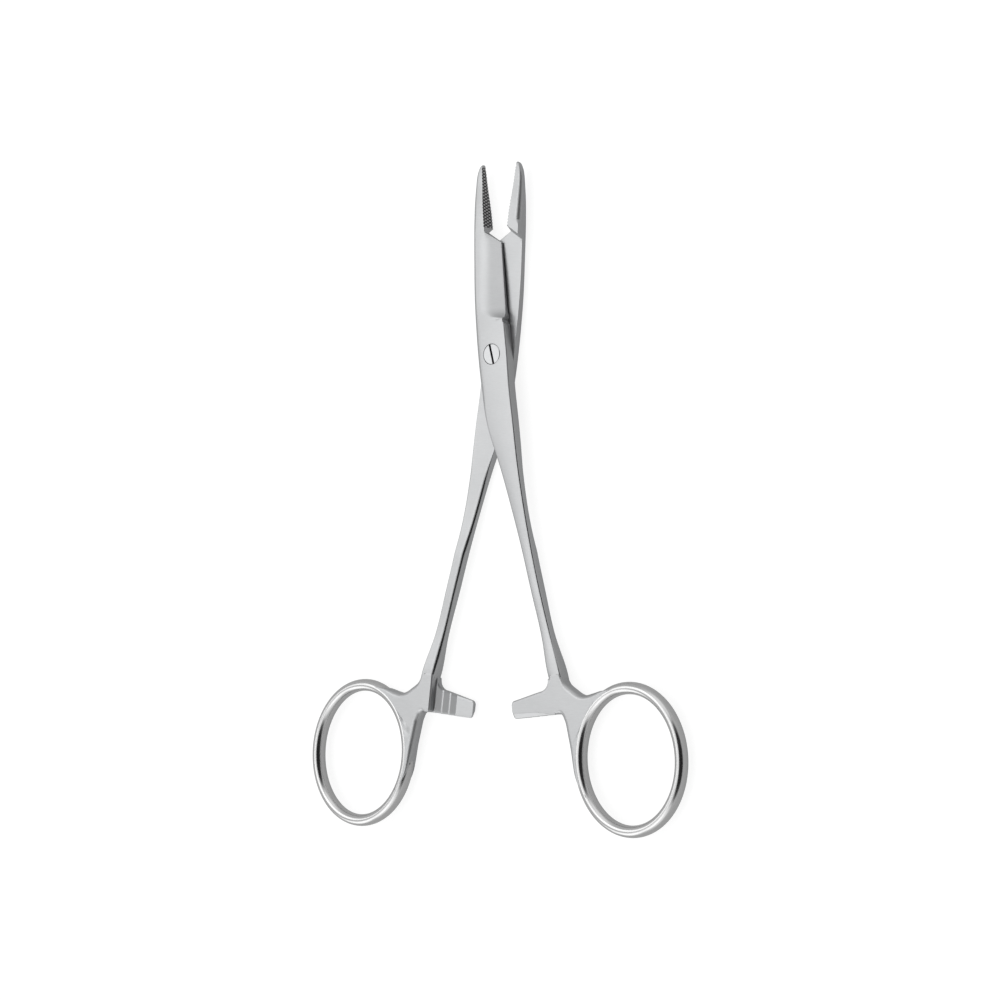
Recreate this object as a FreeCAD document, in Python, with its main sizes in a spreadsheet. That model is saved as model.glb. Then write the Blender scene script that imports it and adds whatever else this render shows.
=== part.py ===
import FreeCAD, Part
import os
import math
import Sketcher
from FreeCAD import Vector, Placement, Rotation

# Ring-handled needle holder with scissor blades behind the jaws, 14 cm, plain stainless steel.
# It lies flat with the tips towards +Y and the screw head up. The origin is on the pivot axis, at the
# underside of the joint. Each half is one forging, drawn closed in its own frame: the gripping plane
# is X = 0, the pivot is the Z axis and the face where the halves lie on each other is Z = 0.

SIZES = {
    # The pair
    "half_opening": 6.4,
    "joint_depth": 4.5,
    "lap_gap": 0.04,
    "grip_gap": 0.04,
    # Jaws
    "tip_y": 39.55,
    "tip_width": 0.45,
    "tip_depth": 1.0,
    "jaw_end_y": 38.5,
    "jaw_end_width": 1.15,
    "jaw_end_depth": 1.3,
    "jaw_top_y": 36.0,
    "jaw_top_width": 1.95,
    "jaw_top_depth": 1.7,
    "jaw_mid_y": 32.5,
    "jaw_mid_width": 2.45,
    "jaw_mid_depth": 2.4,
    "jaw_low_y": 29.0,
    "jaw_low_width": 2.8,
    "jaw_low_depth": 2.95,
    "jaw_foot_y": 25.4,
    "jaw_foot_width": 3.05,
    "jaw_foot_depth": 3.15,
    "jaw_heel_drop": 1.58,
    "jaw_heel_lean": 32,
    # Scissor blades
    "blade_reach": 3.6,
    "blade_slope": 38,
    "blade_mid_y": 16.0,
    "blade_mid_spine": 3.65,
    "blade_mid_front": 1.95,
    "blade_edge_depth": 0.72,
    "blade_root_y": 7.0,
    "blade_root_spine": 4.0,
    "blade_root_reach": 3.65,
    "bevel_angle": 12,
    "bevel_drop": 0.45,
    "bevel_end_drop": 1.5,
    "wheel_radius": 2.2,
    "relief_y": 6.5,
    "relief_inset": 0.35,
    "relief_radius": 0.75,
    "set_start_y": 4.0,
    "set_end_y": 23.4,
    "set_height": 0.18,
    # Joint
    "joint_spine": 4.05,
    "joint_reach": 3.8,
    "shoulder_y": -6.7,
    "shoulder_spine": 3.75,
    "shoulder_reach": 3.75,
    # Shank, at stations from the joint down to the ring
    "waist_y": -14.0,
    "waist_mid": 0.6,
    "waist_width": 6.8,
    "waist_front": 2.2,
    "crotch_y": -22.0,
    "crotch_mid": 1.7,
    "crotch_width": 4.95,
    "crotch_front": 2.0,
    "lap_end_y": -26.5,
    "ramp_end_y": -41.0,
    "neck_y": -28.2,
    "neck_mid": 2.5,
    "neck_width": 3.85,
    "neck_front": 1.7,
    "shank_top_y": -34.5,
    "shank_top_mid": 3.25,
    "shank_top_width": 3.07,
    "shank_top_front": 1.3,
    "shank_high_y": -41.0,
    "shank_high_mid": 4.15,
    "shank_high_width": 2.55,
    "shank_mid_y": -50.0,
    "shank_mid_mid": 5.68,
    "shank_mid_width": 2.36,
    "shank_low_y": -60.0,
    "shank_low_mid": 7.55,
    "shank_low_width": 2.57,
    "shank_end_y": -66.0,
    "shank_end_mid": 8.82,
    "shank_end_width": 3.15,
    "shank_end_depth": 3.06,
    "shank_depth": 2.1,
    "edge_round": 0.4,
    "spine_round": 1.1,
    # Finger ring
    "ring_x": 25.2,
    "ring_y": -84.85,
    "ring_half_width": 12.2,
    "ring_half_height": 14.1,
    "ring_end_inset": 1.2,
    "ring_wall": 2.45,
    "ring_depth": 3.05,
    # Flat web between shank, ring and ratchet arm
    "web_depth": 3.0,
    "web_top_y": -65.0,
    "web_inset": 0.05,
    "web_step_x": 7.6,
    "web_step_drop": 0.4,
    "web_side_out": 2.4,
    "web_side_rise": 8.55,
    "web_side_run": 0.6,
    "web_low_out": 1.35,
    "web_low_drop": 1.45,
    "rim_low_turn": 19.26,
    "rim_head_turn": 6.21,
    "rim_end_width": 0.55,
    "web_head_in": 7.6,
    "web_head_rise": 0.52,
    "valley_in": 3.4,
    "valley_drop": 0.35,
    "valley_round": 3.7,
    "valley_rise": 1.0,
    "valley_run": 2.9,
    "neck_round": 9.8,
    "web_edge_round": 0.4,
    # Ratchet arm
    "arm_end_x": -2.15,
    "arm_end_top_y": -70.55,
    "arm_end_low_y": -73.65,
    "arm_corner": 0.6,
    "arm_root_x": 5.0,
    "arm_root_top_y": -69.4,
    "arm_root_low_y": -75.0,
    "arm_inner_x": 7.4,
    "arm_inner_y": -67.0,
    "arm_inner_round": 2.3,
    "arm_gap": 0.12,
    "arm_overlap": 1.0,
    "tooth_start_x": 1.75,
    "tooth_pitch": 1.95,
    "tooth_height": 0.75,
    "tooth_back": 0.12,
    "tooth_count": 3,
    # Screw
    "head_diameter": 4.2,
    "head_depth": 0.9,
    "screw_diameter": 2.6,
    "screw_play": 0.05,
    "slot_width": 0.5,
    "slot_depth": 0.55,
    "slot_lean": 15.3,
    "head_rim": 0.1,
    # Cutters: how far they pass an edge, and how long they are across the whole half
    "cut_margin": 1.0,
    "cut_reach": 27.0,
}

doc = FreeCAD.newDocument("needle_holder")
sheet = doc.addObject("Spreadsheet::Sheet", "Sizes")
for row, (alias, size) in enumerate(SIZES.items(), start=1):
    sheet.set("A%d" % row, alias)
    sheet.set("B%d" % row, str(size))
    sheet.setAlias("B%d" % row, alias)
doc.recompute()


class Formula:
    """A size worked out from the sheet: its expression, and its number for a sketch's first drawing."""

    def __init__(self, number, text):
        self.number = number
        self.text = text

    def joined(self, sign, other, number):
        other_text = other.text if isinstance(other, Formula) else repr(other)
        return Formula(number, "(%s %s %s)" % (self.text, sign, other_text))

    def __add__(self, other):
        return self.joined("+", other, self.number + plain(other))

    def __sub__(self, other):
        return self.joined("-", other, self.number - plain(other))

    def __mul__(self, other):
        return self.joined("*", other, self.number * plain(other))

    def __truediv__(self, other):
        return self.joined("/", other, self.number / plain(other))

    def __neg__(self):
        return Formula(-self.number, "(-1 * %s)" % self.text)


def plain(size):
    """The number of a formula or of a number."""
    return size.number if isinstance(size, Formula) else size


def turned(function, angle):
    """Sine, cosine or tangent of an angle given in degrees."""
    number = getattr(math, function)(math.radians(angle.number))
    return Formula(number, "%s(%s * 1 deg)" % (function, angle.text))


def named(alias):
    """The formula of one cell of the sheet."""
    return Formula(SIZES[alias], "Sizes.%s" % alias)


def origin_plane(body, role):
    return next(plane for plane in body.Origin.OriginFeatures if plane.Role == role)


def arc_edge(start, end, radius, left):
    """Arc of less than half a turn from start to end; its centre lies to the left of the way or right."""
    chord = end - start
    middle = (start + end) * 0.5
    height = math.sqrt(max(radius ** 2 - (chord.Length / 2) ** 2, 0.0))
    side = Vector(-chord.y, chord.x, 0).normalize() * (height if left else -height)
    centre = middle + side
    first, last = (start, end) if left else (end, start)
    angles = [math.atan2(point.y - centre.y, point.x - centre.x) for point in (first, last)]
    circle = Part.Circle(centre, Vector(0, 0, 1), radius)
    return Part.ArcOfCircle(circle, angles[0], angles[1])


def outline(body, name, role, corners, level=None):
    """Closed sketch on an origin plane. A corner is (x, y) or (x, y, radius, left) before an arc."""
    sketch = body.newObject("Sketcher::SketchObject", name)
    sketch.AttachmentSupport = [(origin_plane(body, role), "")]
    sketch.MapMode = "FlatFace"
    if level is not None:
        sketch.setExpression(".AttachmentOffset.Base.z", level.text)
    points = [Vector(plain(corner[0]), plain(corner[1]), 0) for corner in corners]
    ends = []
    for index, corner in enumerate(corners):
        start, end = points[index], points[(index + 1) % len(points)]
        if len(corner) == 2:
            sketch.addGeometry(Part.LineSegment(start, end), False)
            ends.append((1, 2))
        else:
            sketch.addGeometry(arc_edge(start, end, plain(corner[2]), corner[3]), False)
            ends.append((1, 2) if corner[3] else (2, 1))
    for index in range(len(corners)):
        following = (index + 1) % len(corners)
        sketch.addConstraint(
            Sketcher.Constraint("Coincident", index, ends[index][1], following, ends[following][0]))
    for index, corner in enumerate(corners):
        for kind, size in (("DistanceX", corner[0]), ("DistanceY", corner[1])):
            number = sketch.addConstraint(
                Sketcher.Constraint(kind, -1, 1, index, ends[index][0], plain(size)))
            if isinstance(size, Formula):
                sketch.setExpression("Constraints[%d]" % number, size.text)
        if len(corner) > 2:
            number = sketch.addConstraint(Sketcher.Constraint("Radius", index, plain(corner[2])))
            if isinstance(corner[2], Formula):
                sketch.setExpression("Constraints[%d]" % number, corner[2].text)
    return sketch


def section(body, name, station, left, right, under, front, spine_round):
    """Section across the forging at a station: a rectangle with rounded corners."""
    small = named("edge_round")
    corners = [
        (left + small, under), (right - small, under, small, True),
        (right, under + small), (right, front - small, small, True),
        (right - small, front), (left + spine_round, front, spine_round, True),
        (left, front - spine_round), (left, under + small, small, True),
    ]
    return outline(body, name, "XZ_Plane", corners, level=-station)


def forging(body, name):
    """The blank of one half, from the tip of the jaw to the end of the shank."""
    side = named("blade_reach")
    deep = named("shank_depth") / 2
    front = named("joint_depth") / 2
    jaw = [(part, -named(part + "_width"), side, -named(part + "_depth") / 2, named(part + "_depth") / 2)
           for part in ("tip", "jaw_end", "jaw_top", "jaw_mid", "jaw_low", "jaw_foot")]
    under = -named("jaw_foot_depth") / 2
    middle = [
        ("blade_mid", -named("blade_mid_spine"), side, under, named("blade_mid_front")),
        ("blade_root", -named("blade_root_spine"), named("blade_root_reach"), under, front),
        ("joint", -named("joint_spine"), named("joint_reach"), under, front),
        ("shoulder", -named("shoulder_spine"), named("shoulder_reach"), under, front),
    ]
    shank = [(part, named(part + "_mid") - named(part + "_width") / 2,
              named(part + "_mid") + named(part + "_width") / 2, -deep,
              named(part + "_front") if part + "_front" in SIZES else deep)
             for part in ("waist", "crotch", "neck", "shank_top", "shank_high",
                          "shank_mid", "shank_low")]
    shank.append(("shank_end", named("shank_end_mid") - named("shank_end_width") / 2,
                  named("shank_end_mid") + named("shank_end_width") / 2,
                  -named("shank_end_depth") / 2, named("shank_end_depth") / 2))
    sections = []
    for part, left, right, low, high in jaw + middle + shank:
        station = named(part + "_y") if part + "_y" in SIZES else Formula(0.0, "0")
        spine = named("spine_round") if part in ("blade_mid", "blade_root", "joint", "shoulder") \
            else named("edge_round")
        sections.append(section(body, name + "_" + part, station, left, right, low, high, spine))
    loft = body.newObject("PartDesign::AdditiveLoft", name)
    loft.Profile = sections[0]
    loft.Sections = sections[1:]
    loft.Ruled = False
    return loft


def circle(body, name, x, y, radius, level):
    """Sketch of a circle parallel to the lap face, at a level."""
    sketch = body.newObject("Sketcher::SketchObject", name)
    sketch.AttachmentSupport = [(origin_plane(body, "XY_Plane"), "")]
    sketch.MapMode = "FlatFace"
    sketch.setExpression(".AttachmentOffset.Base.z", level.text)
    sketch.addGeometry(Part.Circle(Vector(x.number, y.number, 0), Vector(0, 0, 1), radius.number), False)
    if x.text == "0":
        sketch.addConstraint(Sketcher.Constraint("Coincident", 0, 3, -1, 1))
    else:
        for kind, size in (("DistanceX", x), ("DistanceY", y)):
            number = sketch.addConstraint(Sketcher.Constraint(kind, -1, 1, 0, 3, size.number))
            sketch.setExpression("Constraints[%d]" % number, size.text)
    number = sketch.addConstraint(Sketcher.Constraint("Radius", 0, radius.number))
    sketch.setExpression("Constraints[%d]" % number, radius.text)
    return sketch


def pad(body, name, sketch, length, both_ways=False):
    feature = body.newObject("PartDesign::Pad", name)
    feature.Profile = sketch
    feature.setExpression("Length", length.text)
    feature.Midplane = both_ways
    return feature


def pocket(body, name, sketch, length, both_ways=False, lean=None):
    """Cut away the sketch's area, below it or both ways; it has to take something off."""
    doc.recompute()
    before = body.Shape.Volume
    feature = body.newObject("PartDesign::Pocket", name)
    feature.Profile = sketch
    feature.setExpression("Length", length.text)
    feature.Midplane = both_ways
    if lean is not None:
        feature.setExpression("TaperAngle", lean.text)
    doc.recompute()
    assert body.Shape.Volume < before - 1e-4, name
    return feature


def level_edges(feature, heights, hidden_radii):
    """Names of the edges that lie flat at one of the heights, but for the arcs that the ring covers."""
    names = []
    for index, edge in enumerate(feature.Shape.Edges, start=1):
        box = edge.BoundBox
        level = any(abs(box.ZMin - height) < 1e-4 and abs(box.ZMax - height) < 1e-4 for height in heights)
        radius = getattr(edge.Curve, "Radius", 0.0)
        if level and all(abs(radius - hidden) > 1e-4 for hidden in hidden_radii):
            names.append("Edge%d" % index)
    return names


def oval():
    """The ring's middle line as four arcs: the end arcs' radius, the side arcs' and where they meet.

    The side radius makes the arcs run into each other: the centres are as far apart as the radii differ.
    """
    wide = named("ring_half_width")
    end_round = wide - named("ring_end_inset")
    rise = named("ring_half_height") - end_round
    side_round = (wide * wide + rise * rise - end_round * end_round) / (named("ring_end_inset") * 2)
    share = end_round / (side_round - end_round)
    return end_round, side_round, (side_round - wide) * share, rise + rise * share


def arm_side(x):
    """Where the arm's lower side lies at x: one straight line from its end to the corner of the web."""
    corner = named("ring_x") - named("ring_half_width") - named("web_side_out") - named("web_side_run")
    end = named("arm_end_x") + named("arm_corner")
    rise = (named("arm_end_low_y") - named("arm_root_low_y")) / (corner - end)
    return corner, named("arm_root_low_y") + rise * (corner - x)


def web(body):
    """Flat web that ties shank, ring and ratchet arm together and runs out along the ring."""
    top = named("web_top_y")
    share = (top - named("shank_end_y")) / (named("shank_low_y") - named("shank_end_y"))
    middle = named("shank_end_mid") + (named("shank_low_mid") - named("shank_end_mid")) * share
    across = named("shank_end_width") + (named("shank_low_width") - named("shank_end_width")) * share
    inset = across / 2 - named("web_inset")
    x, y = named("ring_x"), named("ring_y")
    inner_side = x - named("ring_half_width")
    ring_top = y + named("ring_half_height")
    end_round, side_round, joint_x, joint_y = oval()
    low, head = named("rim_low_turn"), named("rim_head_turn")
    blunt = named("rim_end_width")
    low_end, rim_low = [
        (inner_side + side_round - radius * turned("cos", low), y - radius * turned("sin", low))
        for radius in (side_round + blunt, side_round)]
    rim_head, head_end = [
        (x - radius * turned("sin", head), ring_top - end_round + radius * turned("cos", head))
        for radius in (end_round, end_round + blunt)]
    step = named("web_step_x")
    corner, step_y = arm_side(step)
    valley = (inner_side + named("valley_in"), ring_top - named("valley_drop"))
    corners = [
        (middle - inset, top),
        (step, named("arm_inner_y") - named("web_step_drop")),
        (step, step_y),
        (corner, named("arm_root_low_y")),
        (corner + named("web_side_run"), named("ring_y") + named("web_side_rise")),
        (inner_side - named("web_low_out"), named("ring_y") - named("web_low_drop")),
        low_end, (rim_low[0], rim_low[1], side_round, False),
        (x - joint_x, y + joint_y, end_round, False), rim_head, head_end,
        (inner_side + named("web_head_in"), ring_top + named("web_head_rise")),
        (valley[0], valley[1], named("valley_round"), False),
        (valley[0] - named("valley_run"), valley[1] + named("valley_rise"), named("neck_round"), False),
        (middle + inset, top),
    ]
    sketch = outline(body, "web_plan", "XY_Plane", corners)
    return pad(body, "web", sketch, named("web_depth"), both_ways=True)


def arm(body):
    """Ratchet arm: the front half of the web's depth, reaching past the middle plane of the pair."""
    corner = named("arm_corner")
    end = named("arm_end_x")
    heel = (named("web_step_x") + arm_side(end)[0]) / 2
    inner_top = named("arm_inner_y") + named("arm_overlap")
    corners = [
        (named("arm_inner_x"), inner_top),
        (named("arm_inner_x"), named("arm_inner_y"), named("arm_inner_round"), False),
        (named("arm_root_x"), named("arm_root_top_y")),
        (end + corner, named("arm_end_top_y"), corner, True),
        (end, named("arm_end_top_y") - corner),
        (end, named("arm_end_low_y") + corner, corner, True),
        (end + corner, named("arm_end_low_y")),
        (heel, arm_side(heel)[1]),
        (heel, inner_top),
    ]
    sketch = outline(body, "arm_plan", "XY_Plane", corners, level=named("arm_gap") / 2)
    return pad(body, "arm", sketch, named("web_depth") / 2 - named("arm_gap") / 2)


def cut_teeth(body):
    """Ratchet teeth across the back of the arm: each drops square and ramps down towards the ring."""
    tip = named("arm_gap") / 2
    below = -tip
    root = tip + named("tooth_height")
    start, pitch = named("tooth_start_x"), named("tooth_pitch")
    middle = (named("arm_root_top_y") + named("arm_root_low_y")) / 2
    width = named("arm_root_top_y") - named("arm_root_low_y") + named("cut_margin")
    sketch = outline(body, "tooth_area", "XZ_Plane", [
        (start, below), (start + pitch, below), (start + pitch, tip), (start + named("tooth_back"), root),
        (start, tip)], level=-middle)
    first = pocket(body, "tooth_cut", sketch, width, both_ways=True)
    row = body.newObject("PartDesign::LinearPattern", "tooth_row")
    row.Originals = [first]
    row.Direction = (next(axis for axis in body.Origin.OriginFeatures if axis.Role == "X_Axis"), [""])
    row.setExpression("Length", (pitch * (named("tooth_count") - 1)).text)
    row.setExpression("Occurrences", "Sizes.tooth_count")
    body.Tip = row
    beyond = named("arm_end_x") - named("cut_margin")
    sketch = outline(body, "lead_area", "XZ_Plane", [
        (beyond, below), (start, below), (start, tip), (beyond, root)], level=-middle)
    return pocket(body, "lead_cut", sketch, width, both_ways=True)


def break_edges(body, base):
    """Round the front and back edges of web and arm."""
    doc.recompute()
    front = SIZES["web_depth"] / 2
    end_round, side_round = oval()[:2]
    broken = body.newObject("PartDesign::Fillet", "web_edges")
    broken.Base = (base, level_edges(base, (front, -front), (end_round.number, side_round.number)))
    broken.setExpression("Radius", "Sizes.web_edge_round")
    return broken


def ring(body):
    """Closed finger ring of four arcs that run into each other, with an oval section."""
    x, y = named("ring_x"), named("ring_y")
    tall = named("ring_half_height")
    end_round, side_round, joint_x, joint_y = oval()
    path = outline(body, "ring_path", "XY_Plane", [
        (x, y + tall, end_round, True), (x - joint_x, y + joint_y, side_round, True),
        (x - joint_x, y - joint_y, end_round, True), (x + joint_x, y - joint_y, side_round, True),
        (x + joint_x, y + joint_y, end_round, True)])
    profile = body.newObject("Sketcher::SketchObject", "ring_section")
    profile.AttachmentSupport = [(origin_plane(body, "YZ_Plane"), "")]
    profile.MapMode = "FlatFace"
    profile.setExpression(".AttachmentOffset.Base.z", x.text)
    top, wall, depth = y + tall, named("ring_wall") / 2, named("ring_depth") / 2
    centre = Vector(top.number, 0, 0)
    ellipse = Part.Ellipse(centre + Vector(0, depth.number, 0), centre + Vector(-wall.number, 0, 0), centre)
    profile.addGeometry(ellipse, False)
    profile.exposeInternalGeometry(0)
    number = profile.addConstraint(Sketcher.Constraint("DistanceX", -1, 1, 0, 3, top.number))
    profile.setExpression("Constraints[%d]" % number, top.text)
    profile.addConstraint(Sketcher.Constraint("PointOnObject", 0, 3, -1))
    profile.addConstraint(Sketcher.Constraint("Vertical", 1))
    for line, size in ((1, depth), (2, wall)):
        number = profile.addConstraint(
            Sketcher.Constraint("Distance", line, 1, line, 2, 2 * size.number))
        profile.setExpression("Constraints[%d]" % number, (size * 2).text)
    pipe = body.newObject("PartDesign::AdditivePipe", "ring")
    pipe.Profile = profile
    pipe.Spine = (path, ["Edge%d" % number for number in range(1, 6)])
    return pipe


def machine_jaw(body):
    """Mill the gripping face and the top of the blade, then the face on which the halves lie."""
    level = named("lap_gap") / 2
    grip = -named("grip_gap") / 2
    far = named("blade_reach") * 2
    past_tip = named("tip_y") + named("cut_margin")
    foot = named("jaw_foot_y")
    roof = turned("tan", named("blade_slope"))
    sketch = outline(body, "grip_area", "XY_Plane", [
        (grip, foot), (far, foot - roof * far), (far, past_tip), (grip, past_tip)])
    pocket(body, "grip_cut", sketch, named("joint_depth") * 2, both_ways=True)
    heel = named("jaw_heel_drop") / named("jaw_foot_width")
    sketch = outline(body, "lap_area", "XY_Plane", [
        (-far, named("lap_end_y")), (far, named("lap_end_y")), (far, foot), (grip, foot),
        (-far, foot - heel * far)], level=level)
    pocket(body, "lap_cut", sketch, named("joint_depth"), lean=named("jaw_heel_lean"))
    drop = named("shank_depth") / 2 + level
    run = named("lap_end_y") - named("ramp_end_y")
    sweep = (run * run + drop * drop) / (drop * 2)
    above = named("lap_end_y") + named("cut_margin")
    sketch = outline(body, "ramp_area", "YZ_Plane", [
        (above, level), (named("lap_end_y"), level, sweep, True), (named("ramp_end_y"), level - drop),
        (named("ramp_end_y"), -named("joint_depth")), (above, -named("joint_depth"))])
    pocket(body, "ramp_cut", sketch, named("cut_reach"), both_ways=True)


def grind_blade(body):
    """Grind the blade's front down to its edge with a wheel, hollow its lap face and relieve its root."""
    root = named("blade_root_y")
    wheel = named("wheel_radius")
    edge = named("blade_edge_depth")
    low = edge + named("bevel_drop")
    far = named("joint_depth") * 2
    past_tip = named("tip_y") + named("cut_margin")
    sketch = outline(body, "bevel_area", "YZ_Plane", [
        (root, far), (root, low + wheel, wheel, True), (root + wheel, low),
        (named("jaw_foot_y") - named("bevel_end_drop"), edge), (past_tip, edge), (past_tip, far)],
        level=named("blade_reach"))
    lean = sketch.AttachmentOffset
    lean.Rotation = Rotation(Vector(1, 0, 0), SIZES["bevel_angle"])
    sketch.AttachmentOffset = lean
    sketch.setExpression(".AttachmentOffset.Rotation.Angle", "Sizes.bevel_angle")
    pocket(body, "bevel_cut", sketch, named("cut_reach"), both_ways=True)
    drop = named("set_height")
    level = named("lap_gap") / 2
    start, end = named("set_start_y"), named("set_end_y")
    half = (end - start) / 2
    sweep = (half * half + drop * drop) / (drop * 2)
    sketch = outline(body, "set_area", "YZ_Plane", [(start, level, sweep, False), (end, level)])
    pocket(body, "set_cut", sketch, named("cut_reach"), both_ways=True)
    sketch = circle(body, "relief_area", named("blade_root_reach") + named("relief_inset"),
                    named("relief_y"), named("relief_radius"), named("joint_depth"))
    pocket(body, "relief_cut", sketch, named("joint_depth") * 2)


def half(name, threaded):
    """One half of the pair, as forged and machined, with its screw hole."""
    body = doc.addObject("PartDesign::Body", name)
    body.Label = name
    web(body)
    arm(body)
    break_edges(body, cut_teeth(body))
    ring(body)
    forging(body, "blank")
    machine_jaw(body)
    grind_blade(body)
    over = named("joint_depth")
    centre = Formula(0.0, "0")
    play = named("screw_play")
    radius = named("screw_diameter") / 2
    if threaded:
        sketch = circle(body, "thread_area", centre, centre, radius, over)
        pocket(body, "thread_hole", sketch, over)
    else:
        sketch = circle(body, "head_area", centre, centre, named("head_diameter") / 2 + play, over)
        pocket(body, "head_seat", sketch, over / 2 + named("head_depth") + play)
        sketch = circle(body, "pivot_area", centre, centre, radius + play, over)
        pocket(body, "pivot_hole", sketch, over)
    return body


def screw(name):
    """Slotted joint screw: its head lies in one half and its thread holds in the other."""
    body = doc.addObject("PartDesign::Body", name)
    body.Label = name
    front = named("joint_depth") / 2
    head, shaft = named("head_diameter") / 2, named("screw_diameter") / 2
    rim = named("head_rim")
    centre = Formula(0.0, "0")
    sketch = outline(body, "screw_profile", "XZ_Plane", [
        (centre, front), (centre, -front), (shaft - rim, -front), (shaft, rim - front),
        (shaft, front - named("head_depth")), (head, front - named("head_depth")),
        (head, front - rim), (head - rim, front)])
    blank = body.newObject("PartDesign::Revolution", "screw_blank")
    blank.Profile = sketch
    blank.ReferenceAxis = (sketch, ["V_Axis"])
    blank.Angle = 360
    slot = named("slot_width") / 2
    past_rim = head + named("cut_margin")
    sketch = outline(body, "slot_area", "XY_Plane", [
        (-slot, -past_rim), (slot, -past_rim), (slot, past_rim), (-slot, past_rim)], level=front)
    sketch.setExpression(".AttachmentOffset.Rotation.Angle", "Sizes.slot_lean")
    pocket(body, "slot_cut", sketch, named("slot_depth"))
    return body


def place(body, rotation):
    """Lift a body to the middle plane of the pair and turn it; both follow the sheet."""
    body.setExpression("Placement", "create(<<placement>>; create(<<vector>>; 0; 0; "
                       "Sizes.joint_depth / 2); %s)" % rotation)


# The pair lies half open. The front half turns on the screw, and the back half is the same forging
# turned over about the long axis, with the thread for the screw. To turn it over and open it is one
# half turn, about an axis that leans by half the opening.
front_half = half("front_half", threaded=False)
place(front_half, "create(<<rotation>>; create(<<vector>>; 0; 0; 1); Sizes.half_opening)")
back_half = half("back_half", threaded=True)
place(back_half, "create(<<rotation>>; create(<<vector>>; sin(Sizes.half_opening * 0.5 deg); "
                 "cos(Sizes.half_opening * 0.5 deg); 0); 180)")
joint_screw = screw("joint_screw")
place(joint_screw, "create(<<rotation>>; create(<<vector>>; 0; 0; 1); 0)")
doc.recompute()

for item in doc.Objects:
    if "Invalid" in item.State or "Error" in item.State:
        raise RuntimeError("%s has not been built" % item.Name)
os.makedirs("parts", exist_ok=True)
for body in (front_half, back_half, joint_screw):
    if body.Shape.isNull() or not body.Shape.isValid() or len(body.Shape.Solids) != 1:
        raise RuntimeError("%s is not one whole solid" % body.Label)
    print("%s: %.1f mm3" % (body.Label, body.Shape.Volume))
for body in (front_half, back_half, joint_screw):
    body.Shape.exportStep("parts/%s.step" % body.Label)
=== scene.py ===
import math

import bmesh
import bpy
import numpy as np
from mathutils import Matrix, Vector


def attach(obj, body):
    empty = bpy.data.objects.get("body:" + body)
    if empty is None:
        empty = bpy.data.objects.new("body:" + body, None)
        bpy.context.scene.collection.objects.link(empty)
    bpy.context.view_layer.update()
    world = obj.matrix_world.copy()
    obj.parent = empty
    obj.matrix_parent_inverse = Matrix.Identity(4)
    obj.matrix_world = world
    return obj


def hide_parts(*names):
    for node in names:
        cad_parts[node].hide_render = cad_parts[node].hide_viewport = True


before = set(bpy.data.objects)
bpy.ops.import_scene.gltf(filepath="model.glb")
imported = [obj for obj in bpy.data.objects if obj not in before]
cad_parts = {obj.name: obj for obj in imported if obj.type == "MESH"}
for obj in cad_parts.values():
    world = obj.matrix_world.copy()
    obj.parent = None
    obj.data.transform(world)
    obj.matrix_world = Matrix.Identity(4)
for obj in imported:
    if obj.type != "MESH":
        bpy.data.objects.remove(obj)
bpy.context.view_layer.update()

# Forged halves
# Each half is one forging of martensitic stainless steel: jaw, scissor blade, joint, shank, web,
# ratchet arm and finger ring. The flats are glass beaded and satin brushed, the ring is polished on
# a felt wheel, and the gripping face is crossed with fine serration.

# Millimetres and degrees, in the half's own frame: y runs to the tip from the pivot, x is zero in the
# gripping plane, and z is zero between the halves
MM = 0.001
HALF_OPENING = 6.4
MIDDLE_HEIGHT = 2.25
LAP = 0.02
GRIP = -0.02
FOOT = 25.4
TIP_START, TIP_RUN = 39.1, 0.46
TIP_WIDTH, TIP_DEPTH = 0.3, 0.45
ROOF_SLOPE = math.tan(math.radians(38))
HEEL_SLOPE = 1.58 / 3.05
HEEL_LEAN = math.tan(math.radians(32))
BLADE_REACH = 3.4
BLADE_END = 7.0
FLARE_START, FLARE_RUN, FLARE = 9.2, 2.2, 0.25
BEVEL = math.tan(math.radians(17.3))
BEVEL_LOW = (10.0, 0.80)
BEVEL_TOP = (23.9, 0.50)
WHEEL = 4.0
RELIEF_CENTRE, RELIEF_RADIUS = (4.0, 6.5), 0.75
SET_ENDS = (4.0, 23.4)
SET_HEIGHT = 0.18
RAMP = (-26.5, -41.0)
SHANK_HALF = 1.05
SHANK_ROUND_START, SHANK_ROUND_RUN = -18, 10
FELT_START, FELT_RUN = -8, 14
FELT_FLAT, FELT_FADE = 0.98, 0.2
SERRATION_PITCH = 0.65
SERRATION_DEPTH = 0.18
SERRATION_SLANT = 0.45
SERRATION_LAND = 0.35
SERRATION_ENDS = (26.3, 39.2)
SERRATION_RUN, SERRATION_FADE = 0.3, 0.16
SEAT_RADIUS, SEAT_FLOOR = 2.15, 1.3
BORE_RADIUS = 1.35
THREAD_RADIUS = 1.3
CUTTER_END = 4

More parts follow.
